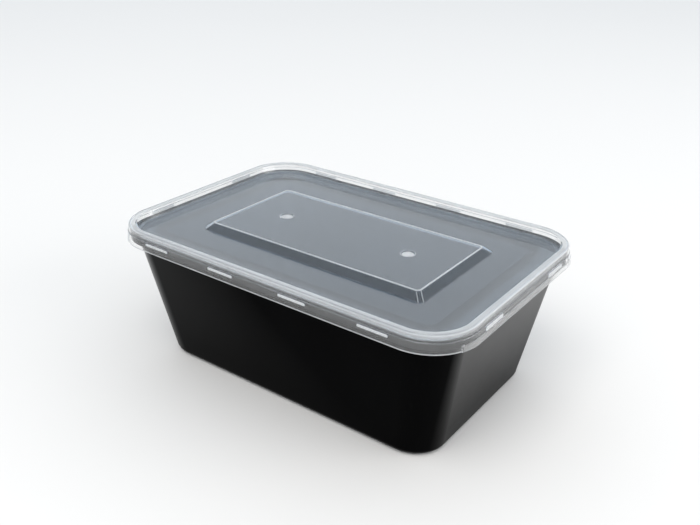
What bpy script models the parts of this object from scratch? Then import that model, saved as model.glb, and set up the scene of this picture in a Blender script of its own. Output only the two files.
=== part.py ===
"""Takeaway meal container: a tapered black tub under a clear press-fit lid.

Metres, +Z up. The origin is the middle of the footprint, on the surface that the tub stands on. The long
sides run along X, and the lid's pull lip is on the short side that faces +X. Tub and lid are thin moulded
shells, each one closed skin lofted through rounded rectangles: up the outside, over the rim, down the inside.
"""
import math
from collections import namedtuple

import bmesh
import bpy
from mathutils import Vector

MM = 0.001

# Plan of the lid, measured round the foot of its skirt
LID_LENGTH = 174.8 * MM
LID_WIDTH = 118.0 * MM
LID_CORNER = 21.0 * MM
LIP_REACH = 0.4 * MM
PLAN_CENTRE_X = -LIP_REACH / 2      # the lip makes the +X end longer, so the plan is centred without it

# Heights above the ground
SKIRT_FOOT = 57.9 * MM
RIM_TOP = 61.2 * MM                 # top of the tub's rim, and the height that the lid is modelled from
LID_TOP = 65.2 * MM

# Walls of the two mouldings
TUB_WALL = 0.6 * MM
LID_WALL = 0.55 * MM

# Tub: how far its walls stand in from the lid's plan, as sharp corners at the ground and at the skirt's foot
BASE_INSET = 15.0 * MM
MOUTH_INSET = 4.8 * MM
BASE_CORNER = 14.1 * MM
MOUTH_CORNER = 16.2 * MM
BASE_FILLET = 3.7 * MM
FILLET_STEPS = 5

# Tub rim: a flange that turns down at its outer edge
RIM_INSET = 1.5 * MM
RIM_THICKNESS = 0.8 * MM
RIM_DROP = 2.2 * MM
RIM_ROUND = 0.3 * MM

# Lid: raised bead round the edge, with the flat panel sunk inside it
BEAD_OUTER_INSET = 1.4 * MM
BEAD_INNER_INSET = 4.25 * MM
BEAD_SHOULDER = 0.45 * MM
PANEL_INSET = 5.9 * MM
PANEL_DROP = 4.9 * MM               # below the top of the bead
SKIRT_STEP_HEIGHT = 62.3 * MM       # where the bead's wall steps out to the skirt
SKIRT_STEP_INSET = 0.45 * MM
SKIRT_STEP = 0.4 * MM

# Lid: raised field in the middle of the panel
FIELD_LENGTH = 116.2 * MM
FIELD_WIDTH = 58.8 * MM
FIELD_CORNER = 2.2 * MM
FIELD_SLOPE_X = 3.2 * MM
FIELD_SLOPE_Y = 3.1 * MM
FIELD_RISE = 2.8 * MM
GATE_OFFSET = 33.0 * MM             # moulding marks on the field's long middle line
GATE_RADIUS = 3.4 * MM
GATE_RISE = 0.3 * MM
GATE_SIDES = 20

# Lid: lip along the +X short side, and the clip ridges round the skirt
LIP_HEIGHT = 2.4 * MM
LIP_FULL_ANGLE = 15.0               # degrees either side of +X round the corner arcs, at full reach
LIP_END_ANGLE = 30.0                # degrees where it has faded out
RIDGE_LENGTH = 13.4 * MM
RIDGE_WIDTH = 1.3 * MM
RIDGE_HEIGHT = 61.3 * MM
RIDGE_PROUD = 0.05 * MM             # outside the lid's plan
RIDGE_DEPTH = 0.65 * MM             # from its face back into the skirt
RIDGE_END_STEPS = 6
LONG_SIDE_PITCH = 37.1 * MM
LONG_SIDE_RIDGES = 4
SHORT_SIDE_PITCH = 53.2 * MM
SHORT_SIDE_RIDGES = 2

CORNER_STEPS = 12
SMOOTH_ANGLE = math.radians(30)

# One cross-section of a loft: plan size, corner radius, height, and how far the pull lip pushes it out
Station = namedtuple("Station", "length width corner height lip", defaults=(0.0,))


def clear_scene():
    """Start from an empty scene."""
    for thing in list(bpy.data.objects):
        bpy.data.objects.remove(thing, do_unlink=True)


def plastic(name, colour, roughness, alpha=1.0):
    """A moulded plastic finish."""
    material = bpy.data.materials.new(name)
    material.use_nodes = True
    shader = material.node_tree.nodes["Principled BSDF"]
    shader.inputs["Base Color"].default_value = (*colour, 1.0)
    shader.inputs["Metallic"].default_value = 0.0
    shader.inputs["Roughness"].default_value = roughness
    shader.inputs["Alpha"].default_value = alpha
    material.diffuse_color = (*colour, alpha)
    return material


def lip_share(degrees):
    """How much of the pull lip stands at this direction from the middle of the lid: 1 at +X, 0 away from it."""
    from_x = abs((degrees + 180.0) % 360.0 - 180.0)
    share = (LIP_END_ANGLE - from_x) / (LIP_END_ANGLE - LIP_FULL_ANGLE)
    return min(max(share, 0.0), 1.0)


def station_points(station):
    """The points of one cross-section, corner by corner, anticlockwise from the +X side."""
    points = []
    for corner in range(4):
        side_x = 1 if corner in (0, 3) else -1
        side_y = 1 if corner in (0, 1) else -1
        middle = Vector((side_x * (station.length / 2 - station.corner),
                         side_y * (station.width / 2 - station.corner),
                         station.height))
        for step in range(CORNER_STEPS + 1):
            degrees = 90.0 * (corner + step / CORNER_STEPS)
            reach = station.corner + station.lip * lip_share(degrees)
            turn = math.radians(degrees)
            points.append(middle + reach * Vector((math.cos(turn), math.sin(turn), 0.0)))
    return points


def lid_plan(inset, height, lip=0.0):
    """A cross-section that follows the lid's outline, a given distance inside it."""
    return Station(LID_LENGTH - 2 * inset, LID_WIDTH - 2 * inset, LID_CORNER - inset, height, lip)


def lofted(name, stations, material):
    """One closed body with its skin through the stations and a flat face across the first and the last."""
    rings = [station_points(station) for station in stations]
    body = bmesh.new()
    first = body.faces.new([body.verts.new(point) for point in rings[0]])
    edge = list(first.edges)
    for before, after in zip(rings, rings[1:]):
        moves = {tuple(point): following for point, following in zip(before, after)}
        grown = bmesh.ops.extrude_edge_only(body, edges=edge)["geom"]
        for corner in (item for item in grown if isinstance(item, bmesh.types.BMVert)):
            corner.co = moves[tuple(corner.co)]
        edge = [item for item in grown if isinstance(item, bmesh.types.BMEdge)]
    bmesh.ops.contextual_create(body, geom=edge)
    bmesh.ops.recalc_face_normals(body, faces=body.faces)
    return as_object(name, body, material)


def as_object(name, body, material):
    """Turn a finished bmesh into a named object, smooth but for its real edges."""
    mesh = bpy.data.meshes.new(name)
    body.to_mesh(mesh)
    body.free()
    mesh.materials.append(material)
    mesh.shade_smooth()
    mesh.set_sharp_from_angle(angle=SMOOTH_ANGLE)
    thing = bpy.data.objects.new(name, mesh)
    bpy.context.scene.collection.objects.link(thing)
    return thing


def tub_wall_section(height, depth):
    """The tub's cross-section at a height, a given depth into its wall, where the corners would be sharp."""
    share = height / SKIRT_FOOT
    inset = BASE_INSET + (MOUTH_INSET - BASE_INSET) * share + depth
    corner = BASE_CORNER + (MOUTH_CORNER - BASE_CORNER) * share - depth
    return Station(LID_LENGTH - 2 * inset, LID_WIDTH - 2 * inset, corner, height)


def tub_base_stations(radius, depth):
    """The rounded edge between base and wall, from the flat of the base outwards."""
    draft = math.atan((BASE_INSET - MOUTH_INSET) / SKIRT_FOOT)
    middle_back = (radius - BASE_FILLET * math.sin(draft)) / math.cos(draft) + depth
    for step in range(FILLET_STEPS + 1):
        turn = math.radians(-90) + (math.radians(90) - draft) * step / FILLET_STEPS
        height = BASE_FILLET + radius * math.sin(turn)
        back = middle_back - radius * math.cos(turn)
        yield Station(LID_LENGTH - 2 * (BASE_INSET + back), LID_WIDTH - 2 * (BASE_INSET + back),
                      BASE_CORNER - back, height)


def build_tub(material):
    """The tub: flat base, tapered walls and a turned-down rim, all one thin shell."""
    outside = list(tub_base_stations(BASE_FILLET, 0.0))
    inside = list(tub_base_stations(BASE_FILLET - TUB_WALL, TUB_WALL))
    inside.reverse()

    under_rim = RIM_TOP - RIM_THICKNESS
    rim_foot = RIM_TOP - RIM_DROP
    outside.append(tub_wall_section(under_rim, 0.0))
    mouth = tub_wall_section(RIM_TOP - RIM_ROUND, TUB_WALL)
    mouth_inset = (LID_LENGTH - mouth.length) / 2
    rim = [
        lid_plan(RIM_INSET + RIM_THICKNESS, under_rim),
        lid_plan(RIM_INSET + RIM_THICKNESS, rim_foot),
        lid_plan(RIM_INSET, rim_foot),
        lid_plan(RIM_INSET, RIM_TOP - RIM_ROUND),
        lid_plan(RIM_INSET + RIM_ROUND, RIM_TOP),
        lid_plan(mouth_inset - 2 * RIM_ROUND, RIM_TOP),
        mouth,
    ]
    return lofted("tub", outside + rim + inside, material)


def build_lid(material):
    """The lid: sunk panel with a raised field, hollow bead, skirt, pull lip, clip ridges and gate marks."""
    lid = lofted("lid", lid_stations(), material)
    marks = bpy.data.collections.new("lid_marks")
    bpy.context.scene.collection.children.link(marks)
    for mark in clip_ridges(material) + gate_marks(material):
        bpy.context.scene.collection.objects.unlink(mark)
        marks.objects.link(mark)

    union = lid.modifiers.new("marks", "BOOLEAN")
    union.operation = "UNION"
    union.operand_type = "COLLECTION"
    union.collection = marks
    union.solver = "EXACT"
    with bpy.context.temp_override(object=lid):
        bpy.ops.object.modifier_apply(modifier=union.name)
    for mark in list(marks.objects):
        bpy.data.objects.remove(mark, do_unlink=True)
    bpy.data.collections.remove(marks)
    return lid


def lid_stations():
    """The lid's cross-sections, from the top of its field outwards and back under it to the field again.

    Heights here are above the tub's rim, which is where the lid's own origin sits.
    """
    top = LID_TOP - RIM_TOP
    panel = top - PANEL_DROP
    foot = SKIRT_FOOT - RIM_TOP
    step = SKIRT_STEP_HEIGHT - RIM_TOP
    lip_top = foot + LIP_HEIGHT
    lip_inset = SKIRT_STEP_INSET * LIP_HEIGHT / (step - foot)
    upper = [
        Station(FIELD_LENGTH - 2 * FIELD_SLOPE_X, FIELD_WIDTH - 2 * FIELD_SLOPE_Y, FIELD_CORNER / 2,
                panel + FIELD_RISE),
        Station(FIELD_LENGTH, FIELD_WIDTH, FIELD_CORNER, panel),
        lid_plan(PANEL_INSET, panel),
        lid_plan(BEAD_INNER_INSET + BEAD_SHOULDER / 2, top - BEAD_SHOULDER),
        lid_plan(BEAD_INNER_INSET - BEAD_SHOULDER / 2, top),
        lid_plan(BEAD_OUTER_INSET + BEAD_SHOULDER, top),
        lid_plan(BEAD_OUTER_INSET, top - BEAD_SHOULDER),
        lid_plan(SKIRT_STEP_INSET + SKIRT_STEP, step + SKIRT_STEP / 2),
        lid_plan(SKIRT_STEP_INSET, step),
        lid_plan(lip_inset, lip_top + LIP_REACH / 3),
        lid_plan(lip_inset, lip_top, LIP_REACH),
        lid_plan(0.0, foot, LIP_REACH),
    ]
    lower = [
        lid_plan(LID_WALL, foot),
        lid_plan(SKIRT_STEP_INSET + LID_WALL, step - LID_WALL / 2),
        lid_plan(SKIRT_STEP_INSET + SKIRT_STEP + LID_WALL, step),
        lid_plan(BEAD_OUTER_INSET + LID_WALL, top - BEAD_SHOULDER - LID_WALL / 2),
        lid_plan(BEAD_OUTER_INSET + BEAD_SHOULDER + LID_WALL / 2, top - LID_WALL),
        lid_plan(BEAD_INNER_INSET - BEAD_SHOULDER / 2 - LID_WALL / 2, top - LID_WALL),
        lid_plan(BEAD_INNER_INSET + BEAD_SHOULDER / 2 - LID_WALL, top - BEAD_SHOULDER - LID_WALL / 2),
        lid_plan(PANEL_INSET - LID_WALL / 2, panel - LID_WALL),
        Station(FIELD_LENGTH, FIELD_WIDTH, FIELD_CORNER, panel - LID_WALL),
        Station(FIELD_LENGTH - 2 * FIELD_SLOPE_X, FIELD_WIDTH - 2 * FIELD_SLOPE_Y, FIELD_CORNER / 2,
                panel + FIELD_RISE - LID_WALL),
    ]
    return upper + lower


def clip_ridges(material):
    """The oblong ridges that stand on the skirt, as separate bodies."""
    ridges = []
    height = RIDGE_HEIGHT - RIM_TOP
    sides = [
        (0.0, LID_LENGTH / 2, SHORT_SIDE_RIDGES, SHORT_SIDE_PITCH),
        (90.0, LID_WIDTH / 2, LONG_SIDE_RIDGES, LONG_SIDE_PITCH),
        (180.0, LID_LENGTH / 2, SHORT_SIDE_RIDGES, SHORT_SIDE_PITCH),
        (270.0, LID_WIDTH / 2, LONG_SIDE_RIDGES, LONG_SIDE_PITCH),
    ]
    for degrees, face, count, pitch in sides:
        turn = math.radians(degrees)
        outward = Vector((math.cos(turn), math.sin(turn), 0.0))
        along = Vector((-math.sin(turn), math.cos(turn), 0.0))
        for number in range(count):
            place = outward * (face + RIDGE_PROUD) + along * (number - (count - 1) / 2) * pitch
            ridges.append(clip_ridge(place + Vector((0.0, 0.0, height)), outward, along, material))
    return ridges


def clip_ridge(place, outward, along, material):
    """One ridge: an oblong with round ends, extruded back into the skirt."""
    end = RIDGE_WIDTH / 2
    straight = RIDGE_LENGTH / 2 - end
    upward = Vector((0.0, 0.0, 1.0))
    body = bmesh.new()
    rim = []
    for side in (1, -1):
        for step in range(RIDGE_END_STEPS + 1):
            turn = math.pi * (step / RIDGE_END_STEPS - 0.5)
            offset = along * side * (straight + end * math.cos(turn)) + upward * side * end * math.sin(turn)
            rim.append(body.verts.new(place + offset))
    face = body.faces.new(rim)
    back = bmesh.ops.extrude_face_region(body, geom=[face])["geom"]
    moved = [item for item in back if isinstance(item, bmesh.types.BMVert)]
    bmesh.ops.translate(body, verts=moved, vec=-outward * RIDGE_DEPTH)
    bmesh.ops.recalc_face_normals(body, faces=body.faces)
    return as_object("clip_ridge", body, material)


def gate_marks(material):
    """The two low round marks that the moulding leaves on the field."""
    field = LID_TOP - RIM_TOP - PANEL_DROP + FIELD_RISE
    marks = []
    for side in (1, -1):
        body = bmesh.new()
        bmesh.ops.create_cone(body, cap_ends=True, segments=GATE_SIDES, radius1=GATE_RADIUS,
                              radius2=GATE_RADIUS - GATE_RISE, depth=2 * GATE_RISE)
        bmesh.ops.translate(body, verts=body.verts, vec=(side * GATE_OFFSET, 0.0, field))
        marks.append(as_object("gate_mark", body, material))
    return marks


def main():
    """Build the tub and press the lid on its rim."""
    clear_scene()
    black = plastic("tub_black_plastic", (0.012, 0.012, 0.013), 0.35)
    clear = plastic("lid_clear_plastic", (0.82, 0.85, 0.88), 0.12, alpha=0.35)

    container = bpy.data.objects.new("container", None)
    bpy.context.scene.collection.objects.link(container)
    container.location = (PLAN_CENTRE_X, 0.0, 0.0)

    tub = build_tub(black)
    tub.parent = container
    lid = build_lid(clear)
    lid.parent = container
    lid.location = (0.0, 0.0, RIM_TOP)


main()
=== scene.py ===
"""Dress the takeaway meal container: a black moulded tub under a clear, slightly milky press-fit lid.

Metres, +Z up. The lid's pull lip is on the short side that faces +X. The camera stands at the photo's place.
"""
from __future__ import annotations

import logging
import math
from dataclasses import dataclass, field
from enum import Enum
from typing import Callable, Iterator, Sequence

import bmesh
import bpy
from mathutils import Matrix, Vector


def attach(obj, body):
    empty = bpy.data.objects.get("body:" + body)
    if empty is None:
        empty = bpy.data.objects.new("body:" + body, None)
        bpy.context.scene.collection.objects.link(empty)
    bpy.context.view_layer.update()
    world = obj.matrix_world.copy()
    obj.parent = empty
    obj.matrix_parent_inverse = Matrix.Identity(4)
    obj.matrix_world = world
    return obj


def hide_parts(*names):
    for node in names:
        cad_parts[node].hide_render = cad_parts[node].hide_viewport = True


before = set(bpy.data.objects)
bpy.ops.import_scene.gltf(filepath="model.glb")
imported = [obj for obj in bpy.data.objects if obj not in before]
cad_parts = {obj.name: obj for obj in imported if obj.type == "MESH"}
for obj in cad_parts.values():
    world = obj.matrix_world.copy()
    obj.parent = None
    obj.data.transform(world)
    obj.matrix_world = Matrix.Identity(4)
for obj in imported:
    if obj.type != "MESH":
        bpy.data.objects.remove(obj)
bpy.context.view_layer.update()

LOG = logging.getLogger("meal_container")

MM = 0.001
PLAN_CENTRE_X = -0.2 * MM            # the pull lip makes the +X end longer, so the plan sits this far back
CORNER_STEPS = 28                    # segments round each corner of an outline
NEAR = 0.02 * MM                     # how close a point must be to a named place to be picked
SLACK = 0.1 * MM                     # the same for a place that an operator has shifted
MERGED = 0.001 * MM                  # points closer together than this become one
SMOOTH_ANGLE = math.radians(32)      # edges sharper than this stay crisp
NOISE_MIDDLE = 0.5                   # the value that noise varies about
Rounding = tuple[float, int]         # how far a rounding reaches along each face, and its segments
Triple = tuple[float, float, float]  # a colour, a place or a factor for each axis
Pairs = tuple[tuple[float, float], ...]


class Expression:
    """A shader value that Python arithmetic can be done on; each step adds one Math node."""

    def __init__(self, bench: "NodeBench", socket: bpy.types.NodeSocket) -> None:
        """Wrap a socket.

        Args:
            bench: The bench that the socket's nodes are on.
            socket: The output socket that gives the value.
        """
        self.bench = bench
        self.socket = socket

    def _math(self, operation: str, first: object, second: object) -> "Expression":
        """Add one Math node and wrap its result."""
        return self.bench.add("ShaderNodeMath", {"operation": operation}, {0: first, 1: second})

    def __add__(self, other: object) -> "Expression":
        """This value plus another."""
        return self._math("ADD", self, other)

    __radd__ = __add__

    def __sub__(self, other: object) -> "Expression":
        """This value less another."""
        return self._math("SUBTRACT", self, other)

    def __rsub__(self, other: object) -> "Expression":
        """Another value less this one."""
        return self._math("SUBTRACT", other, self)

    def __mul__(self, other: object) -> "Expression":
        """This value times another."""
        return self._math("MULTIPLY", self, other)

    __rmul__ = __mul__

    def size(self) -> "Expression":
        """This value without its sign."""
        return self.bench.add("ShaderNodeMath", {"operation": "ABSOLUTE"}, {0: self})

    def within(self, low: float, high: float) -> "Expression":
        """This value from 0 at low to 1 at high, and flat outside them.

        Args:
            low: The value that gives 0.
            high: The value that gives 1.

        Returns:
            The share of the way from low to high.
        """
        return self.bench.add("ShaderNodeMapRange", {"clamp": True},
                              {"Value": self, "From Min": low, "From Max": high})


class Coordinates(Enum):
    """Which coordinates a bench's patterns are laid out on."""

    PIECE = "Object"
    SURROUNDINGS = "Generated"


class NodeBench:
    """The bench that the nodes of one material, or of the surroundings, are put together on."""

    def __init__(self, owner: bpy.types.Material | bpy.types.World,
                 coordinates: Coordinates = Coordinates.PIECE) -> None:
        """Clear the owner's nodes and start from its coordinates.

        Args:
            owner: The new material or world.
            coordinates: What its patterns are laid out on.
        """
        owner.use_nodes = True
        self.owner = owner
        self.tree = owner.node_tree
        self.tree.nodes.clear()
        self.places = self.add("ShaderNodeTexCoord", {}, {}, coordinates.value)

    def add(self, kind: str, settings: dict[str, object], inputs: dict[object, object],
            output: object = 0) -> Expression:
        """Add a node.

        Args:
            kind: The node's type.
            settings: The node's own settings, set before its sockets.
            inputs: A value or an expression for each socket, by name or number.
            output: The output socket that is wanted.

        Returns:
            The wanted output.
        """
        node = self.tree.nodes.new(kind)
        for setting, value in settings.items():
            setattr(node, setting, value)
        for key, value in inputs.items():
            if isinstance(value, Expression):
                self.tree.links.new(value.socket, node.inputs[key])
            else:
                node.inputs[key].default_value = value
        return Expression(self, node.outputs[output])

    def noise(self, scale: float, detail: float = 2.0,
              stretch: Sequence[float] = (1.0, 1.0, 1.0)) -> Expression:
        """Smooth noise over the piece.

        Args:
            scale: Patches per metre.
            detail: How many finer layers are added.
            stretch: How much each axis is multiplied by.

        Returns:
            The noise, about its middle.
        """
        spread = self.add("ShaderNodeMapping", {}, {"Vector": self.places, "Scale": tuple(stretch)})
        return self.add("ShaderNodeTexNoise", {}, {"Vector": spread, "Scale": scale, "Detail": detail}, "Fac")

    def blend(self, share: Expression, low: Sequence[float], high: Sequence[float]) -> Expression:
        """A colour between two others.

        Args:
            share: 0 for the first colour and 1 for the second.
            low: The first colour, as red, green and blue.
            high: The second colour.

        Returns:
            The colour.
        """
        return self.add("ShaderNodeMix", {"data_type": "RGBA"},
                        {"Factor": share, 6: (*low, 1.0), 7: (*high, 1.0)}, 2)

    def bump(self, height: Expression, depth: float, strength: float) -> Expression:
        """A surface relief too fine to model.

        Args:
            height: The relief, from 0 to 1.
            depth: Its depth in metres.
            strength: How much of it shows.

        Returns:
            The bent normal.
        """
        return self.add("ShaderNodeBump", {}, {"Height": height, "Distance": depth, "Strength": strength})

    def along(self, axis: Sequence[float]) -> Expression:
        """How far each place is along an axis.

        Args:
            axis: The axis, one long.

        Returns:
            The distance in the coordinates' own unit.
        """
        return self.add("ShaderNodeVectorMath", {"operation": "DOT_PRODUCT"},
                        {0: self.places, 1: tuple(axis)}, "Value")

    def bands(self, share: Expression, stops: Sequence[tuple[float, float]]) -> Expression:
        """A value read off a line through stops.

        Args:
            share: Where along the line, from 0 to 1.
            stops: Each stop's place and value, in order.

        Returns:
            The value.
        """
        highest = max(value for _, value in stops)
        ramp = self.add("ShaderNodeValToRGB", {}, {"Fac": share})
        elements = ramp.socket.node.color_ramp.elements
        while len(elements) < len(stops):
            elements.new(1.0)
        for element, (place, value) in zip(elements, stops):
            element.position = place
            element.color = (value / highest,) * 3 + (1.0,)
        return ramp * highest

    def finished(self, shader: Expression) -> bpy.types.Material | bpy.types.World:
        """Join a shader to the output.

        Args:
            shader: The shader that the owner shows.

        Returns:
            The owner.
        """
        is_world = isinstance(self.owner, bpy.types.World)
        output = self.tree.nodes.new("ShaderNodeOutputWorld" if is_world else "ShaderNodeOutputMaterial")
        self.tree.links.new(shader.socket, output.inputs["Surface"])
        return self.owner


@dataclass(frozen=True)
class SatinBlack:
    """The tub's moulded plastic: near black, satin on the walls and polished on the rim.

    The walls take a sheen where they are seen at a low angle, and a painted shade dims it towards the base.
    """

    dark: Triple = (0.001, 0.001, 0.0011)
    light: Triple = (0.002, 0.002, 0.0021)
    roughness: float = 0.38
    roughness_spread: float = 0.10
    specular_level: float = 0.008
    sheen_level: float = 1.0
    sheen_roughness: float = 0.30
    painted_base_shade_low: float = 0.34               # share of the sheen that the painted shade leaves near the base
    painted_base_shade_from: float = 10.0 * MM
    painted_base_shade_full: float = 60.0 * MM
    sheen_from: float = 0.45
    sheen_full: float = 0.80
    rim_roughness: float = 0.22
    rim_specular_level: float = 0.25
    rim_from: float = 58.6 * MM
    rim_full: float = 59.0 * MM
    grain_scale: float = 4200.0
    grain_depth: float = 0.012 * MM
    grain_strength: float = 0.6
    flow_scale: float = 26.0
    flow_stretch: Triple = (1.0, 1.0, 0.35)
    flow_low: float = 0.3                  # the flow marks' darkest and lightest values
    flow_high: float = 0.7
    flow_share: float = 0.6                # share of the roughness's spread that follows the flow marks
    patch_scale: float = 234.0

    def material(self) -> bpy.types.Material:
        """Make the material.

        Returns:
            The finished material.
        """
        bench = NodeBench(bpy.data.materials.new("tub_satin_black_plastic"))
        up = bench.along((0.0, 0.0, 1.0))
        grain = bench.noise(self.grain_scale, 1.0)
        flow = bench.noise(self.flow_scale, 3.0, self.flow_stretch)
        patch = bench.noise(self.patch_scale, 2.0)
        uneven = flow * self.flow_share + patch * (1 - self.flow_share) - NOISE_MIDDLE
        spread = uneven * self.roughness_spread
        colour = bench.blend(flow.within(self.flow_low, self.flow_high), self.dark, self.light)
        relief = bench.bump(grain, self.grain_depth, self.grain_strength)
        matt = bench.add("ShaderNodeBsdfPrincipled", {}, {
            "Base Color": colour,
            "Roughness": spread + self.roughness,
            "Specular IOR Level": self.specular_level,
            "Normal": relief,
        })
        glancing = bench.add("ShaderNodeBsdfPrincipled", {}, {
            "Base Color": colour,
            "Roughness": spread + self.sheen_roughness,
            "Specular IOR Level": self.sheen_level,
            "Normal": relief,
        })
        rim = bench.add("ShaderNodeBsdfPrincipled", {}, {
            "Base Color": colour,
            "Roughness": spread + self.rim_roughness,
            "Specular IOR Level": self.rim_specular_level,
        })
        facing = bench.add("ShaderNodeLayerWeight", {}, {"Blend": 0.5}, "Facing")
        # painted shade: the walls' sheen is dimmed towards the base
        painted_base_shade = up.within(self.painted_base_shade_from, self.painted_base_shade_full) * (1 - self.painted_base_shade_low) + self.painted_base_shade_low
        sheen = facing.within(self.sheen_from, self.sheen_full) * painted_base_shade
        wall = bench.add("ShaderNodeMixShader", {}, {"Fac": sheen, 1: matt, 2: glancing})
        on_rim = up.within(self.rim_from, self.rim_full)
        return bench.finished(bench.add("ShaderNodeMixShader", {}, {"Fac": on_rim, 1: wall, 2: rim}))


@dataclass(frozen=True)
class ClearPlastic:
    """The lid's moulded plastic: clear, with a bluish milkiness and soft flow marks on the panel.

    milk is the share of the light that the sheet scatters instead of passing it straight, and milk_through
    the part of that which goes on through. The milk fades in from milk_from to milk_full, two heights, and
    glancing_milk is added where the sheet is seen nearly edge on.
    """

    name: str
    tint: Triple = (0.97, 0.975, 0.98)
    milk_colour: Triple = (0.70, 0.84, 1.0)
    milk: float = 0.07
    milk_spread: float = 0.6
    milk_through: float = 0.5
    milk_from: float = 0.0
    milk_full: float = 1.0 * MM
    milk_roughness: float = 0.6
    glancing_milk: float = 0.8
    glancing_from: float = 0.70
    glancing_full: float = 0.85
    roughness: float = 0.05
    roughness_spread: float = 0.04
    ior: float = 1.49
    wave_scale: float = 45.0
    wave_depth: float = 0.03 * MM
    wave_strength: float = 0.5
    wave_stretch: Triple = (1.0, 1.6, 1.0)
    cloud_scale: float = 20.25
    panel_half_length: float = 80.0 * MM
    panel_half_width: float = 52.0 * MM
    panel_fade: float = 4.0 * MM

    def material(self) -> bpy.types.Material:
        """Make the material.

        Returns:
            The finished material.
        """
        bench = NodeBench(bpy.data.materials.new(self.name))
        wave = bench.noise(self.wave_scale, 1.0, self.wave_stretch) * self.on_panel(bench)
        cloud = bench.noise(self.cloud_scale, 3.0) - NOISE_MIDDLE
        clear = bench.add("ShaderNodeBsdfPrincipled", {}, {
            "Base Color": (*self.tint, 1.0),
            "Roughness": cloud * self.roughness_spread + self.roughness,
            "Transmission Weight": 1.0,
            "IOR": self.ior,
            "Normal": bench.bump(wave, self.wave_depth, self.wave_strength),
        })
        back = bench.add("ShaderNodeBsdfPrincipled", {}, {
            "Base Color": (*self.milk_colour, 1.0),
            "Roughness": self.milk_roughness,
            "Specular IOR Level": 0.0,
        })
        through = bench.add("ShaderNodeBsdfTranslucent", {}, {"Color": (*self.milk_colour, 1.0)})
        scatter = bench.add("ShaderNodeMixShader", {}, {"Fac": self.milk_through, 1: back, 2: through})
        height = bench.along((0.0, 0.0, 1.0)).within(self.milk_from, self.milk_full)
        facing = bench.add("ShaderNodeLayerWeight", {}, {"Blend": 0.5}, "Facing")
        glancing = facing.within(self.glancing_from, self.glancing_full) * self.glancing_milk
        share = (cloud * self.milk_spread + 1) * height * self.milk + glancing
        return bench.finished(bench.add("ShaderNodeMixShader", {}, {"Fac": share, 1: clear, 2: scatter}))

    def on_panel(self, bench: NodeBench) -> Expression:
        """Where the flow marks show.

        Args:
            bench: The material's bench.

        Returns:
            1 on the panel and 0 on the bead and skirt round it.
        """
        along = self.panel_half_length - bench.along((1.0, 0.0, 0.0)).size()
        across = self.panel_half_width - bench.along((0.0, 1.0, 0.0)).size()
        return along.within(0.0, self.panel_fade) * across.within(0.0, self.panel_fade)


@dataclass(frozen=True)
class PaleFloor:
    """The studio's matt white surface."""

    colour: Triple = (0.835, 0.808, 0.78)
    mottle_scale: float = 3.0
    mottle_gain: float = 1.01
    roughness: float = 0.9
    specular_level: float = 0.1

    def material(self) -> bpy.types.Material:
        """Make the material.

        Returns:
            The finished material.
        """
        bench = NodeBench(bpy.data.materials.new("studio_pale_floor"))
        mottle = bench.noise(self.mottle_scale)
        lighter = tuple(part * self.mottle_gain for part in self.colour)
        shader = bench.add("ShaderNodeBsdfPrincipled", {}, {
            "Base Color": bench.blend(mottle, self.colour, lighter),
            "Roughness": self.roughness,
            "Specular IOR Level": self.specular_level,
        })
        return bench.finished(shader)


@dataclass(frozen=True)
class Outline:
    """A rectangle with rounded corners, level, centred on the lid's plan."""

    length: float
    width: float
    corner: float

    def inside(self, inset: float) -> "Outline":
        """The outline a given distance inside this one.

        Args:
            inset: The distance, in metres.

        Returns:
            The smaller outline.
        """
        return Outline(self.length - 2 * inset, self.width - 2 * inset, self.corner - inset)

    def inset_of(self, point: Vector) -> float:
        """How far a point is inside this outline.

        Args:
            point: The point; its height is ignored.

        Returns:
            The distance, negative outside.
        """
        beyond_x = abs(point.x - PLAN_CENTRE_X) - (self.length / 2 - self.corner)
        beyond_y = abs(point.y) - (self.width / 2 - self.corner)
        if beyond_x > 0 and beyond_y > 0:
            return self.corner - math.hypot(beyond_x, beyond_y)
        return self.corner - max(beyond_x, beyond_y)


LID_OUTLINE = Outline(174.8 * MM, 118.0 * MM, 21.0 * MM)


def select_nothing() -> None:
    """Deselect every object, so that an operator works on the new piece alone."""
    if bpy.context.mode != "OBJECT":
        bpy.ops.object.mode_set(mode="OBJECT")
    bpy.ops.object.select_all(action="DESELECT")


def make_active(piece: bpy.types.Object, others: Sequence[bpy.types.Object] = ()) -> None:
    """Select a piece and make it active.

    Args:
        piece: The piece that operators act on.
        others: Pieces that are selected with it.
    """
    select_nothing()
    for one in (*others, piece):
        one.select_set(True)
    bpy.context.view_layer.objects.active = piece


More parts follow.
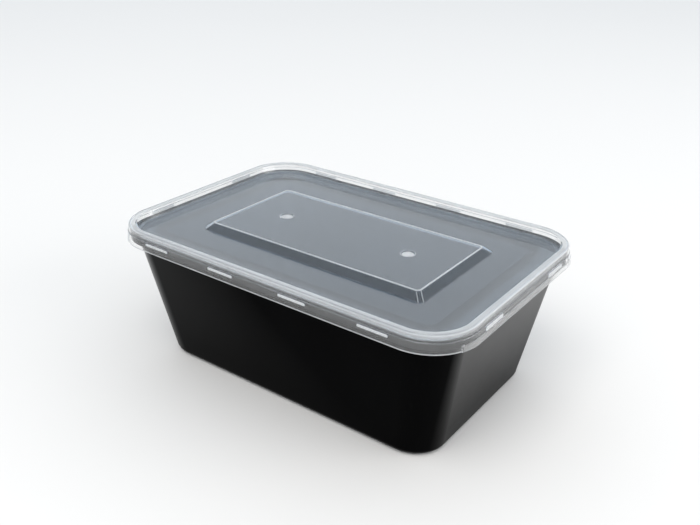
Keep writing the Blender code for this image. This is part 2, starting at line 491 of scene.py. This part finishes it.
class Workpiece:
    """A mesh that is shaped in edit mode, by operators, as by hand."""

    def __init__(self, name: str) -> None:
        """Take the new primitive that is active.

        Args:
            name: The piece's name.
        """
        self.piece = bpy.context.active_object
        self.piece.name = name
        self.piece.data.name = name
        bpy.ops.object.transform_apply(location=True, rotation=True, scale=True)
        bpy.ops.object.mode_set(mode="EDIT")
        bpy.ops.mesh.select_all(action="SELECT")

    @classmethod
    def plate(cls, name: str, outline: Outline, height: float, steps: int = CORNER_STEPS) -> "Workpiece":
        """Start from a level plate with rounded corners.

        Args:
            name: The piece's name.
            outline: The plate's outline.
            height: Its height.
            steps: Segments round each corner.

        Returns:
            The workpiece, in edit mode, with the plate's face selected.
        """
        select_nothing()
        bpy.ops.mesh.primitive_plane_add(size=1.0, location=(PLAN_CENTRE_X, 0.0, height))
        bpy.context.active_object.scale = (outline.length, outline.width, 1.0)
        made = cls(name)
        bpy.ops.mesh.bevel(offset=outline.corner, offset_type="OFFSET", segments=steps, profile=0.5,
                           affect="VERTICES", clamp_overlap=False)
        made.pick_faces(lambda middle, normal: True)
        return made

    def pick_faces(self, test: Callable[[Vector, Vector], bool]) -> None:
        """Select the faces that pass a test of their middle and normal.

        Args:
            test: Called with each face's middle and normal.
        """
        bpy.ops.mesh.select_mode(type="FACE")
        bpy.ops.mesh.select_all(action="DESELECT")
        body = bmesh.from_edit_mesh(self.piece.data)
        for one in [face for face in body.faces if test(face.calc_center_median(), face.normal)]:
            one.select_set(True)
        bmesh.update_edit_mesh(self.piece.data)

    def pick_edges(self, test: Callable[[Vector, Vector], bool], most_faces: int = 2) -> int:
        """Select the edges whose two ends pass a test.

        Args:
            test: Called with both ends of each edge.
            most_faces: Edges with more faces are left; 1 picks only the sheet's open edges.

        Returns:
            How many edges were picked.
        """
        bpy.ops.mesh.select_mode(type="EDGE")
        bpy.ops.mesh.select_all(action="DESELECT")
        body = bmesh.from_edit_mesh(self.piece.data)
        picked = [one for one in body.edges if len(one.link_faces) <= most_faces
                  and test(one.verts[0].co, one.verts[1].co)]
        for one in picked:
            one.select_set(True)
        bmesh.update_edit_mesh(self.piece.data)
        return len(picked)

    def dress(self, materials: Sequence[bpy.types.Material]) -> None:
        """Give the piece its finishes.

        Args:
            materials: The finishes, in the order of their numbers.
        """
        for material in materials:
            self.piece.data.materials.append(material)

    def mark(self, finish: "LidFinish") -> None:
        """Give the selected faces one of the piece's finishes.

        Args:
            finish: The finish.
        """
        body = bmesh.from_edit_mesh(self.piece.data)
        for one in body.faces:
            if one.select:
                one.material_index = finish.value
        bmesh.update_edit_mesh(self.piece.data)

    def step_in(self, inward: float, rise: float) -> None:
        """Inset the selected face and lift it.

        Args:
            inward: How far the face shrinks all round.
            rise: How far it goes along its normal.
        """
        bpy.ops.mesh.inset(thickness=inward, depth=rise, use_even_offset=True, use_boundary=True)

    def extrude(self, offset: Sequence[float]) -> None:
        """Extrude what is selected.

        Args:
            offset: How far it is carried.
        """
        bpy.ops.mesh.extrude_region_move(TRANSFORM_OT_translate={"value": tuple(offset)})

    def resize(self, factors: Sequence[float], centre: Sequence[float]) -> None:
        """Scale what is selected.

        Args:
            factors: The factor along each axis.
            centre: The point that stays.
        """
        bpy.ops.transform.resize(value=tuple(factors), center_override=tuple(centre))

    def round_edges(self, offset: float, steps: int) -> None:
        """Round the selected edges.

        Args:
            offset: How far the rounding reaches along each face.
            steps: Segments across it.
        """
        bpy.ops.mesh.bevel(offset=offset, offset_type="OFFSET", segments=steps, profile=0.5,
                           affect="EDGES", clamp_overlap=True)

    def round_ring(self, inset: float, height: float, offset: float, steps: int) -> None:
        """Round the ring of edges at one place of the profile.

        Args:
            inset: How far inside the lid's outline the ring is.
            height: The ring's height.
            offset: How far the rounding reaches along each face.
            steps: Segments across it.
        """
        def on_ring(point: Vector) -> bool:
            return abs(point.z - height) < NEAR and abs(LID_OUTLINE.inset_of(point) - inset) < NEAR

        count = self.pick_edges(lambda first, second: on_ring(first) and on_ring(second))
        if count < 4 * CORNER_STEPS:
            raise ValueError(f"{self.piece.name} has {count} edges at {inset / MM:.2f}, {height / MM:.2f}")
        self.round_edges(offset, steps)

    def thicken(self, thickness: float) -> None:
        """Give the sheet a wall on the side away from its normals, and apply it.

        Args:
            thickness: The wall's thickness.
        """
        self.outward()
        wall = self.piece.modifiers.new("wall", "SOLIDIFY")
        wall.thickness = thickness
        wall.offset = -1.0
        wall.use_even_offset = True
        wall.use_quality_normals = True
        make_active(self.piece)
        bpy.ops.object.modifier_apply(modifier=wall.name)

    def outward(self) -> None:
        """Point every face outwards and leave edit mode."""
        bpy.ops.object.mode_set(mode="EDIT")
        bpy.ops.mesh.select_all(action="SELECT")
        bpy.ops.mesh.normals_make_consistent(inside=False)
        bpy.ops.object.mode_set(mode="OBJECT")

    def finish(self) -> bpy.types.Object:
        """Leave edit mode and shade the piece.

        Returns:
            The finished object.
        """
        bpy.ops.object.mode_set(mode="OBJECT")
        make_active(self.piece)
        bpy.ops.object.shade_smooth_by_angle(angle=SMOOTH_ANGLE)
        flat = self.piece.modifiers.new("flat_faces", "WEIGHTED_NORMAL")
        flat.weight = 70
        flat.keep_sharp = True
        bpy.ops.object.modifier_apply(modifier=flat.name)
        select_nothing()
        return self.piece


def take(piece: bpy.types.Object, node: str) -> bpy.types.Object:
    """Hang a piece under the root body and hide the CAD node that it replaces.

    Args:
        piece: The piece.
        node: The CAD node that it replaces, which is hidden.

    Returns:
        The same piece.
    """
    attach(piece, "root")
    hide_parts(node)
    return piece


@dataclass
class Tub:
    """The black tub: a flat base, tapered walls and a turned-down rim."""

    wall: float = 0.6 * MM
    rim_top: float = 61.2 * MM
    rim_foot: float = 59.0 * MM
    rim_inset: float = 1.5 * MM
    mouth_inset: float = 4.8 * MM          # where the outside of the wall would meet the skirt's foot height
    mouth_height: float = 57.9 * MM
    base_inset: float = 15.0 * MM
    base_fillet: float = 3.7 * MM
    base_steps: int = 10
    mouth_round: Rounding = (0.5 * MM, 4)
    rim_round: Rounding = (0.48 * MM, 4)
    finish: SatinBlack = field(default_factory=SatinBlack)

    def build(self) -> Iterator[bpy.types.Object]:
        """Build the tub's pieces.

        Returns:
            Each finished piece.
        """
        yield take(self.shell(), "tub")

    def shell(self) -> bpy.types.Object:
        """The tub as one thin wall, modelled on its inner and upper face."""
        lean = (self.base_inset - self.mouth_inset) / self.mouth_height
        mouth = self.mouth_inset + self.wall - lean * (self.rim_top - self.mouth_height)
        base = self.base_inset + self.wall - lean * self.wall
        sheet = Workpiece.plate("tub_shell", LID_OUTLINE.inside(self.rim_inset), self.rim_foot)
        sheet.dress([self.finish.material()])
        sheet.extrude((0.0, 0.0, self.rim_top - self.rim_foot))
        sheet.pick_faces(lambda middle, normal: abs(middle.z - self.rim_foot) < NEAR)
        bpy.ops.mesh.delete(type="ONLY_FACE")
        sheet.pick_faces(lambda middle, normal: abs(middle.z - self.rim_top) < NEAR)
        sheet.step_in(mouth - self.rim_inset, 0.0)
        sheet.extrude((0.0, 0.0, self.wall - self.rim_top))
        start = LID_OUTLINE.inside(mouth)
        end = LID_OUTLINE.inside(base)
        sheet.resize((end.length / start.length, end.width / start.width, 1.0),
                     (PLAN_CENTRE_X, 0.0, self.wall))
        self.soften(sheet, mouth)
        sheet.thicken(self.wall)
        sheet.outward()
        return sheet.finish()

    def soften(self, sheet: Workpiece, mouth: float) -> None:
        """Round the rim, the mouth and the base.

        Args:
            sheet: The tub's sheet.
            mouth: How far inside the lid's outline the mouth is.
        """
        draft = math.atan((self.base_inset - self.mouth_inset) / self.mouth_height)
        reach = (self.base_fillet - self.wall) * math.tan((math.radians(90) - draft) / 2)
        sheet.pick_edges(lambda first, second: max(first.z, second.z) < self.wall + NEAR)
        sheet.round_edges(reach, self.base_steps)
        sheet.round_ring(mouth, self.rim_top, *self.mouth_round)
        sheet.round_ring(self.rim_inset, self.rim_top, *self.rim_round)


class LidFinish(Enum):
    """The lid's finishes, each with its number on the shell's faces."""

    CLEAR = 0
    # milky bands that stand in for highlight lines on edges and seams: painted highlight
    EDGE = 1
    BEAD = 2
    LIP = 3
    # painted highlight on the field's crest line and the gate dishes' floors
    FROST = 4
    WALL = 5
    MARGIN = 6
    SKIRT = 7
    RIDGE = 8


@dataclass
class Lid:
    """The clear lid: sunk panel, raised field, bead, skirt, pull lip, clip ridges and gate marks."""

    wall: float = 0.55 * MM
    top: float = 65.2 * MM
    panel: float = 60.3 * MM
    foot: float = 57.9 * MM
    edge_height: float = 0.28 * MM
    skirt_steps: Pairs = ((0.45 * MM, 62.3 * MM), (0.72 * MM, 62.5 * MM))
    skirt_top: float = 62.6 * MM          # where the skirt's finish gives way to the bead's
    step_round: Rounding = (0.1 * MM, 2)
    bead_outer: float = 0.98 * MM
    bead_outer_round: Rounding = (0.42 * MM, 5)
    bright_line: tuple[float, float] = (0.84 * MM, 1.36 * MM)    # the insets that the painted highlight line on the bead lies between
    bright_line_depth: float = 0.35 * MM
    groove_inset: float = 1.75 * MM
    groove_depth: float = 0.14 * MM
    bead_inner: float = 4.1 * MM
    bead_inner_round: Rounding = (0.55 * MM, 4)
    panel_inset: float = 5.6 * MM
    panel_round: Rounding = (0.5 * MM, 4)
    panel_dish: float = 0.5 * MM          # how far the panel sinks from the bead's foot inwards
    panel_dish_width: float = 11.4 * MM
    panel_dish_steps: int = 3
    field_length: float = 116.2 * MM
    field_width: float = 58.8 * MM
    field_corner: float = 1.5 * MM
    field_slope_x: float = 3.2 * MM
    field_slope_y: float = 3.1 * MM
    field_rise: float = 2.8 * MM
    field_margin: float = 1.2 * MM
    foot_round: Rounding = (0.25 * MM, 3)
    seam_round: Rounding = (0.15 * MM, 2)
    crest_steps: Pairs = (
        (0.18 * MM, 0.05 * MM), (0.4 * MM, 0.0), (0.18 * MM, -0.05 * MM))
    gate_offset: float = 33.0 * MM
    gate_radius: float = 3.6 * MM
    gate_steps: int = 56
    gate_lip: Pairs = (
        (0.15 * MM, 0.02 * MM), (0.15 * MM, 0.06 * MM), (0.15 * MM, 0.02 * MM), (0.12 * MM, -0.02 * MM))
    gate_wall: Pairs = (
        (0.1 * MM, -0.12 * MM), (0.12 * MM, -0.2 * MM), (0.18 * MM, -0.14 * MM))
    gate_floor: Pairs = (
        (0.3 * MM, -0.04 * MM), (1.3 * MM, 0.03 * MM), (0.25 * MM, 0.12 * MM), (0.2 * MM, 0.08 * MM),
        (0.2 * MM, 0.02 * MM))
    lip_top: float = 60.3 * MM
    lip_inset: float = 0.245 * MM
    lip_reach: float = 0.4 * MM
    lip_turn: float = 24.5               # degrees round each corner from the +X side
    lip_end_turn: float = 2.4            # degrees either side of its end that the end's rounding takes
    lip_round: Rounding = (0.8 * MM, 4)
    ridge_length: float = 13.4 * MM
    ridge_width: float = 1.2 * MM
    ridge_height: float = 61.3 * MM
    ridge_proud: float = 0.05 * MM
    ridge_side: float = 0.35 * MM
    ridge_crown: Pairs = ((0.22 * MM, 0.17 * MM), (0.3 * MM, 0.06 * MM))
    ridge_end_steps: int = 8
    ridge_smooth_angle: float = math.radians(40)
    long_pitch: float = 37.1 * MM
    long_count: int = 4
    short_pitch: float = 53.2 * MM
    short_count: int = 2
    short_ridge_width: float = 1.8 * MM
    finishes: dict[LidFinish, ClearPlastic] = field(default_factory=lambda: {
        LidFinish.CLEAR: ClearPlastic("lid_clear_plastic"),
        # painted highlight: a near-white milky band where the edges would catch the light
        LidFinish.EDGE: ClearPlastic(
            "lid_painted_highlight_edge", milk=0.55, milk_colour=(0.96, 0.965, 0.97), roughness=0.12),
        LidFinish.BEAD: ClearPlastic(
            "lid_milky_bead", milk=0.38, milk_colour=(1.0, 0.995, 0.985), roughness=0.1,
            milk_from=62.6 * MM, milk_full=65.0 * MM, tint=(0.99, 0.99, 0.99)),
        LidFinish.LIP: ClearPlastic(
            "lid_milky_lip", milk=0.2, milk_colour=(0.97, 0.965, 0.955), roughness=0.1),
        # painted highlight: a near-white milky finish on the crest line and the gate floors
        LidFinish.FROST: ClearPlastic(
            "lid_painted_highlight_marks", milk=0.75, milk_colour=(0.96, 0.965, 0.97), roughness=0.2),
        LidFinish.WALL: ClearPlastic(
            "lid_wall_plastic", milk=0.3, milk_colour=(0.80, 0.86, 0.92),
            milk_from=61.9 * MM, milk_full=61.3 * MM, tint=(0.99, 0.99, 0.99), ior=1.38),
        LidFinish.MARGIN: ClearPlastic(
            "lid_margin_plastic", milk=0.25, milk_colour=(0.76, 0.86, 0.96),
            milk_from=60.27 * MM, milk_full=60.5 * MM),
        LidFinish.SKIRT: ClearPlastic(
            "lid_skirt_plastic", milk_colour=(0.97, 0.975, 0.98), tint=(0.99, 0.99, 0.99), ior=1.38),
        LidFinish.RIDGE: ClearPlastic(
            "lid_frosted_ridge", milk=0.8, milk_colour=(1.0, 1.0, 1.0), roughness=0.3),
    })

    def profile(self) -> list[tuple[float, float]]:
        """The upper face from the skirt's foot inwards, as (inset, height) pairs."""
        return [
            (0.0, self.foot),
            (self.edge_height * self.lip_inset / (self.lip_top - self.foot), self.foot + self.edge_height),
            (self.lip_inset, self.lip_top),
            *self.skirt_steps,
            (self.bead_outer, self.top),
            (self.groove_inset, self.top),
            (self.groove_inset + self.groove_depth, self.top - self.groove_depth),
            (self.groove_inset + 2 * self.groove_depth, self.top),
            (self.bead_inner, self.top),
            *self.dish(),
        ]

    def dish(self) -> Iterator[tuple[float, float]]:
        """The panel's gently sunk margin, as (inset, height) pairs from the bead's foot inwards.

        Returns:
            Each place of the margin's curve.
        """
        for number in range(self.panel_dish_steps + 1):
            share = number / self.panel_dish_steps
            yield (self.panel_inset + self.panel_dish_width * share,
                   self.panel + self.panel_dish * (1 - share) ** 2)

    def build(self) -> Iterator[bpy.types.Object]:
        """Build the lid's pieces.

        Returns:
            Each finished piece.
        """
        materials = [self.finishes[one].material() for one in LidFinish]
        yield take(self.shell(materials), "lid")
        yield take(self.ridges(materials), "lid")

    def shell(self, materials: Sequence[bpy.types.Material]) -> bpy.types.Object:
        """The lid's shell, modelled on its upper face from the skirt's foot to the field.

        Args:
            materials: The lid's finishes, in the order of their numbers.

        Returns:
            The finished shell.
        """
        places = self.profile()
        sheet = Workpiece.plate("lid_shell", LID_OUTLINE, self.foot)
        sheet.dress(materials)
        for (inset, height), (next_inset, next_height) in zip(places, places[1:]):
            sheet.step_in(next_inset - inset, next_height - height)
        sheet.pick_faces(lambda middle, normal: abs(middle.z - self.panel) < NEAR)
        bpy.ops.mesh.delete(type="ONLY_FACE")
        self.paint(sheet)
        self.push_lip(sheet)
        sheet = self.with_field(sheet, materials)
        sheet.round_ring(self.panel_inset, self.panel + self.panel_dish, *self.panel_round)
        sheet.round_ring(self.bead_inner, self.top, *self.bead_inner_round)
        sheet.round_ring(self.bead_outer, self.top, *self.bead_outer_round)
        # painted highlight: a milky line along the bead's outer shoulder
        line_from, line_to = self.bright_line
        sheet.pick_faces(lambda middle, normal: middle.z > self.top - self.bright_line_depth
                         and line_from < LID_OUTLINE.inset_of(middle) < line_to)
        sheet.mark(LidFinish.EDGE)
        for inset, height in reversed(self.skirt_steps):
            sheet.round_ring(inset, height, *self.step_round)
        sheet.thicken(self.wall)
        sheet.outward()
        return sheet.finish()

    def paint(self, sheet: Workpiece) -> None:
        """Give the shell's zones their finishes; a later zone covers what it shares with an earlier one.

        Args:
            sheet: The lid's sheet.
        """
        inset_of = LID_OUTLINE.inset_of
        zones = (
            (LidFinish.BEAD, lambda middle, normal: middle.z > self.skirt_top
             and inset_of(middle) < self.bead_inner and not self.in_groove(inset_of(middle))),
            (LidFinish.SKIRT, lambda middle, normal: middle.z < self.skirt_top
             and inset_of(middle) < self.bead_outer),
            (LidFinish.WALL, lambda middle, normal: inset_of(middle) > self.bead_inner),
            (LidFinish.MARGIN, lambda middle, normal: inset_of(middle) > self.panel_inset),
            # painted highlight: a milky line along the skirt's foot
            (LidFinish.EDGE, lambda middle, normal: middle.z < self.foot + self.edge_height),
        )
        for finish, test in zones:
            sheet.pick_faces(test)
            sheet.mark(finish)

    def in_groove(self, inset: float) -> bool:
        """Whether a place on the bead's top is in its groove.

        Args:
            inset: How far the place is inside the lid's outline.

        Returns:
            True in the groove.
        """
        return self.groove_inset < inset < self.groove_inset + 2 * self.groove_depth

    def push_lip(self, sheet: Workpiece) -> None:
        """Push the pull lip out of the skirt's foot along the +X side and partly round its corners.

        Args:
            sheet: The lid's sheet.
        """
        arc_x = PLAN_CENTRE_X + LID_OUTLINE.length / 2 - LID_OUTLINE.corner
        arc_y = LID_OUTLINE.width / 2 - LID_OUTLINE.corner

        def turn_at(point: Vector) -> float:
            beyond = max(abs(point.y) - arc_y, 0.0)
            return math.degrees(math.atan2(beyond, point.x - arc_x))

        sheet.pick_faces(lambda middle, normal: middle.z < self.lip_top and middle.x > arc_x
                         and turn_at(middle) < self.lip_turn)
        bpy.ops.mesh.extrude_region_shrink_fatten(
            TRANSFORM_OT_shrink_fatten={"value": self.lip_reach, "use_even_offset": True})
        sheet.mark(LidFinish.LIP)
        sheet.pick_faces(lambda middle, normal: normal.z < -0.9 and middle.z < self.foot + 2 * SLACK)
        bpy.ops.mesh.delete(type="ONLY_FACE")

        def proud_of(point: Vector) -> float:
            inset = self.lip_inset * (point.z - self.foot) / (self.lip_top - self.foot)
            return inset - LID_OUTLINE.inset_of(point)

        def by_end(point: Vector) -> bool:
            return point.x > arc_x and abs(turn_at(point) - self.lip_turn) < self.lip_end_turn

        sheet.pick_edges(lambda first, second: by_end(first) and by_end(second)
                         and min(first.z, second.z) > self.lip_top - SLACK
                         and max(first.z, second.z) < self.lip_top + SLACK
                         and abs(proud_of(first) - proud_of(second)) > self.lip_reach / 2)
        sheet.round_edges(*self.lip_round)
        # painted highlight: a milky outline on the lip's ends
        border = self.lip_reach / 5
        sheet.pick_faces(lambda middle, normal: by_end(middle) and middle.z < self.lip_top + SLACK
                         and border < proud_of(middle) < self.lip_reach - border)
        sheet.mark(LidFinish.EDGE)

    def with_field(self, sheet: Workpiece, materials: Sequence[bpy.types.Material]) -> Workpiece:
        """Raise the field in the panel's opening.

        Args:
            sheet: The lid's sheet, open where the panel goes.
            materials: The lid's finishes, in the order of their numbers.

        Returns:
            The sheet with its panel and field.
        """
        bpy.ops.object.mode_set(mode="OBJECT")
        foot = Outline(self.field_length, self.field_width, self.field_corner)
        raised = Workpiece.plate("lid_field", foot, self.panel, 1)
        raised.dress(materials)
        raised.extrude((0.0, 0.0, self.field_rise))
        raised.resize((1 - 2 * self.field_slope_x / self.field_length,
                       1 - 2 * self.field_slope_y / self.field_width, 1.0),
                      (PLAN_CENTRE_X, 0.0, self.panel + self.field_rise))
        raised.pick_faces(lambda middle, normal: abs(middle.z - self.panel) < NEAR)
        bpy.ops.mesh.delete(type="ONLY_FACE")
        crest = self.panel + self.field_rise
        raised.pick_faces(lambda middle, normal: middle.z > crest - NEAR)
        for inward, rise in self.crest_steps:
            raised.step_in(inward, rise)

        def in_middle(middle: Vector) -> bool:
            return abs(middle.x - PLAN_CENTRE_X) < MM and abs(middle.y) < MM

        # painted highlight: a milky line round the field's crest
        raised.pick_faces(lambda middle, normal: middle.z > crest - NEAR and not in_middle(middle))
        raised.mark(LidFinish.FROST)
        raised.pick_faces(lambda middle, normal: middle.z > crest - NEAR and in_middle(middle))
        self.gates(raised, crest)
        # painted highlight: milky lines along the field's rounded corner seams
        raised.pick_edges(lambda first, second: abs(first.z - second.z) > self.field_rise / 2)
        raised.round_edges(*self.seam_round)
        raised.mark(LidFinish.EDGE)
        raised.pick_edges(lambda first, second: max(first.z, second.z) < self.panel + NEAR)
        raised.extrude((0.0, 0.0, 0.0))
        raised.resize((1 + 2 * self.field_margin / self.field_length,
                       1 + 2 * self.field_margin / self.field_width, 1.0), (PLAN_CENTRE_X, 0.0, self.panel))
        bpy.ops.object.mode_set(mode="OBJECT")
        make_active(sheet.piece, [raised.piece])
        bpy.ops.object.join()
        bpy.ops.object.mode_set(mode="EDIT")
        sheet.pick_edges(lambda first, second: abs(first.z - self.panel) < NEAR
                         and abs(second.z - self.panel) < NEAR, 1)
        bpy.ops.mesh.fill(use_beauty=True)
        sheet.pick_faces(lambda middle, normal: abs(middle.z - self.panel) < NEAR)
        sheet.mark(LidFinish.CLEAR)

        def on_foot(point: Vector) -> bool:
            return abs(point.z - self.panel) < NEAR and abs(foot.inset_of(point)) < NEAR

        sheet.pick_edges(lambda first, second: on_foot(first) and on_foot(second))
        sheet.round_edges(*self.foot_round)
        return sheet

    def gates(self, sheet: Workpiece, level: float) -> None:
        """Sink a shallow dish with a raised lip into each half of the field, where the plastic was let in.

        Args:
            sheet: The field's sheet, with its top face selected.
            level: The height of the top face.
        """
        bpy.ops.mesh.delete(type="ONLY_FACE")
        centres = [Vector((PLAN_CENTRE_X + side * self.gate_offset, 0.0, level)) for side in (-1, 1)]
        for centre in centres:
            bpy.ops.mesh.primitive_circle_add(vertices=self.gate_steps, radius=self.gate_radius,
                                              fill_type="NGON", location=centre)
        sheet.pick_edges(lambda first, second: min(first.z, second.z) > level - NEAR, 1)
        bpy.ops.mesh.fill(use_beauty=True)
        for centre in centres:
            sheet.pick_faces(lambda middle, normal: (middle - centre).length < NEAR)
            # painted highlight: each dish's floor is milky white
            for steps, finish in ((self.gate_lip, LidFinish.LIP), (self.gate_wall, LidFinish.CLEAR),
                                  (self.gate_floor, LidFinish.FROST)):
                sheet.mark(finish)
                for inward, rise in steps:
                    sheet.step_in(inward, rise)

    def ridges(self, materials: Sequence[bpy.types.Material]) -> bpy.types.Object:
        """The oblong clip ridges round the skirt, as one mesh of closed pads.

        Args:
            materials: The lid's finishes, in the order of their numbers.

        Returns:
            The finished ridges.
        """
        short = (LID_OUTLINE.length / 2, self.short_count, self.short_pitch, self.short_ridge_width)
        long = (LID_OUTLINE.width / 2, self.long_count, self.long_pitch, self.ridge_width)
        pads = []
        for quarter, (reach, count, pitch, width) in enumerate((short, long, short, long)):
            turn = Matrix.Rotation(math.radians(90 * quarter), 4, "Z")
            for number in range(count):
                along = (number - (count - 1) / 2) * pitch
                pads.append(self.pad(turn, reach + self.ridge_proud, along, width, materials))
        make_active(pads[0], pads[1:])
        bpy.ops.object.join()
        joined = bpy.context.active_object
        joined.name = "lid_clip_ridges"
        bpy.ops.object.shade_smooth_by_angle(angle=self.ridge_smooth_angle)
        select_nothing()
        return joined

    def pad(self, turn: Matrix, reach: float, along: float, width: float,
            materials: Sequence[bpy.types.Material]) -> bpy.types.Object:
        """One clip ridge: an oblong with round ends and a softly crowned face.

        Args:
            turn: The turn from the +X side to the ridge's own side.
            reach: How far its face is from the lid's middle.
            along: How far it is along the side.
            width: Its height on the skirt.
            materials: The lid's finishes, in the order of their numbers.

        Returns:
            The ridge's object.
        """
        select_nothing()
        bpy.ops.mesh.primitive_plane_add(size=1.0, location=(0.0, 0.0, 0.0))
        bpy.context.active_object.scale = (self.ridge_length, width, 1.0)
        work = Workpiece("lid_ridge")
        work.dress(materials)
        bpy.ops.mesh.bevel(offset=width / 2, offset_type="OFFSET", segments=self.ridge_end_steps,
                           profile=0.5, affect="VERTICES", clamp_overlap=True)
        bpy.ops.mesh.remove_doubles(threshold=MERGED)
        work.pick_faces(lambda middle, normal: True)
        work.extrude((0.0, 0.0, self.ridge_side))
        work.pick_faces(lambda middle, normal: middle.z > self.ridge_side - NEAR)
        work.mark(LidFinish.RIDGE)
        for inward, rise in self.ridge_crown:
            work.step_in(inward, rise)
        bpy.ops.mesh.select_all(action="SELECT")
        bpy.ops.mesh.normals_make_consistent(inside=False)
        bpy.ops.object.mode_set(mode="OBJECT")
        stand = Matrix(((0.0, 0.0, 1.0), (1.0, 0.0, 0.0), (0.0, 1.0, 0.0))).to_4x4()
        depth = self.ridge_side + sum(rise for _, rise in self.ridge_crown)
        place = Matrix.Translation((PLAN_CENTRE_X, 0.0, self.ridge_height)) @ turn @ Matrix.Translation(
            (reach - depth, along, 0.0)) @ stand
        work.piece.matrix_world = place
        make_active(work.piece)
        bpy.ops.object.transform_apply(location=True, rotation=True, scale=True)
        return work.piece


@dataclass(frozen=True)
class Softbox:
    """A rectangular studio light that faces the container.

    azimuth is measured from +Y towards +X, and elevation up from the floor, both in degrees.
    """

    name: str
    azimuth: float
    elevation: float
    distance: float
    width: float
    height: float
    radiance: float
    colour: Triple

    def build(self) -> None:
        """Hang the light."""
        turn = math.radians(self.azimuth)
        climb = math.radians(self.elevation)
        place = self.distance * Vector((math.sin(turn) * math.cos(climb), math.cos(turn) * math.cos(climb),
                                        math.sin(climb)))
        lamp = bpy.data.lights.new(self.name, "AREA")
        lamp.shape = "RECTANGLE"
        lamp.size = self.width
        lamp.size_y = self.height
        lamp.energy = self.radiance * math.pi * self.width * self.height
        lamp.color = self.colour
        holder = bpy.data.objects.new(self.name, lamp)
        bpy.context.scene.collection.objects.link(holder)
        holder.location = place
        holder.rotation_euler = (-place).to_track_quat("-Z", "Y").to_euler()


@dataclass(frozen=True)
class Surroundings:
    """What stands round the container, brighter low down behind it than in front.

    The bands are (sine of the height above the floor, radiance) pairs. The ones in front give way to the ones
    behind between turn_from and turn_to, which are cosines of the angle to the azimuth behind.
    """

    behind_azimuth: float = -35.0
    behind: Pairs = (
        (0.0, 0.95), (0.34, 1.25), (0.46, 1.35), (0.58, 1.55), (0.68, 1.0), (1.0, 0.93))
    front: Pairs = ((0.0, 1.05), (0.3, 1.0), (0.45, 0.8), (0.7, 1.0), (1.0, 0.93))
    turn_from: float = 0.45
    turn_to: float = 0.70
    colour: Triple = (0.87, 0.935, 1.0)

    def build(self) -> bpy.types.World:
        """Make the surroundings.

        Returns:
            The world.
        """
        bench = NodeBench(bpy.data.worlds.new("studio_surroundings"), Coordinates.SURROUNDINGS)
        climb = bench.along((0.0, 0.0, 1.0))
        turn = math.radians(self.behind_azimuth)
        side = bench.along((math.sin(turn), math.cos(turn), 0.0)).within(self.turn_from, self.turn_to)
        radiance = bench.bands(climb, self.behind) * side + bench.bands(climb, self.front) * (1 - side)
        return bench.finished(bench.add("ShaderNodeBackground", {}, {
            "Color": (*self.colour, 1.0), "Strength": radiance}))


@dataclass
class Studio:
    """The pale floor, the soft lights and the plain surroundings."""

    floor_size: float = 14.0
    softboxes: tuple[Softbox, ...] = (
        Softbox("softbox_front", azimuth=170.0, elevation=57.0, distance=1.7, width=1.1, height=1.1,
                radiance=2.65, colour=(1.0, 0.97, 0.93)),
        Softbox("softbox_right", azimuth=75.0, elevation=22.0, distance=1.3, width=1.1, height=0.7,
                radiance=2.3, colour=(1.0, 0.98, 0.96)),
    )

    def build(self) -> None:
        """Lay the floor, hang the lights and set the surroundings."""
        select_nothing()
        bpy.ops.mesh.primitive_grid_add(x_subdivisions=4, y_subdivisions=4, size=self.floor_size,
                                        location=(0.0, 0.0, 0.0))
        floor = bpy.context.active_object
        floor.name = "studio_floor"
        floor.data.materials.append(PaleFloor().material())
        for softbox in self.softboxes:
            softbox.build()
        scene = bpy.context.scene
        scene.world = Surroundings().build()
        scene.view_settings.view_transform = "Standard"
        scene.view_settings.look = "None"


@dataclass(frozen=True)
class PhotoCamera:
    """The camera at the photo's viewing angle; angles in degrees."""

    place: Triple = (195.39 * MM, -266.36 * MM, 208.18 * MM)
    turn: float = 35.84
    dip: float = 25.70
    roll: float = 0.986
    lens: float = 42.263
    sensor_width: float = 36.0
    clip_start: float = 0.01

    def build(self) -> None:
        """Set the camera up."""
        data = bpy.data.cameras.new("photo_camera")
        data.sensor_fit = "HORIZONTAL"
        data.sensor_width = self.sensor_width
        data.lens = self.lens
        data.clip_start = self.clip_start
        holder = bpy.data.objects.new("photo_camera", data)
        bpy.context.scene.collection.objects.link(holder)
        holder.matrix_world = (Matrix.Translation(self.place)
                               @ Matrix.Rotation(math.radians(self.turn), 4, "Z")
                               @ Matrix.Rotation(math.radians(90.0 - self.dip), 4, "X")
                               @ Matrix.Rotation(math.radians(self.roll), 4, "Z"))
        bpy.context.scene.camera = holder


def main() -> None:
    """Build the container, the studio and the camera, in order."""
    logging.basicConfig(level=logging.INFO, format="%(message)s")
    for assembly in (Tub(), Lid()):
        for piece in assembly.build():
            LOG.info("%s: %d faces", piece.name, len(piece.data.polygons))
    Studio().build()
    PhotoCamera().build()


if __name__ == "__main__":
    main()
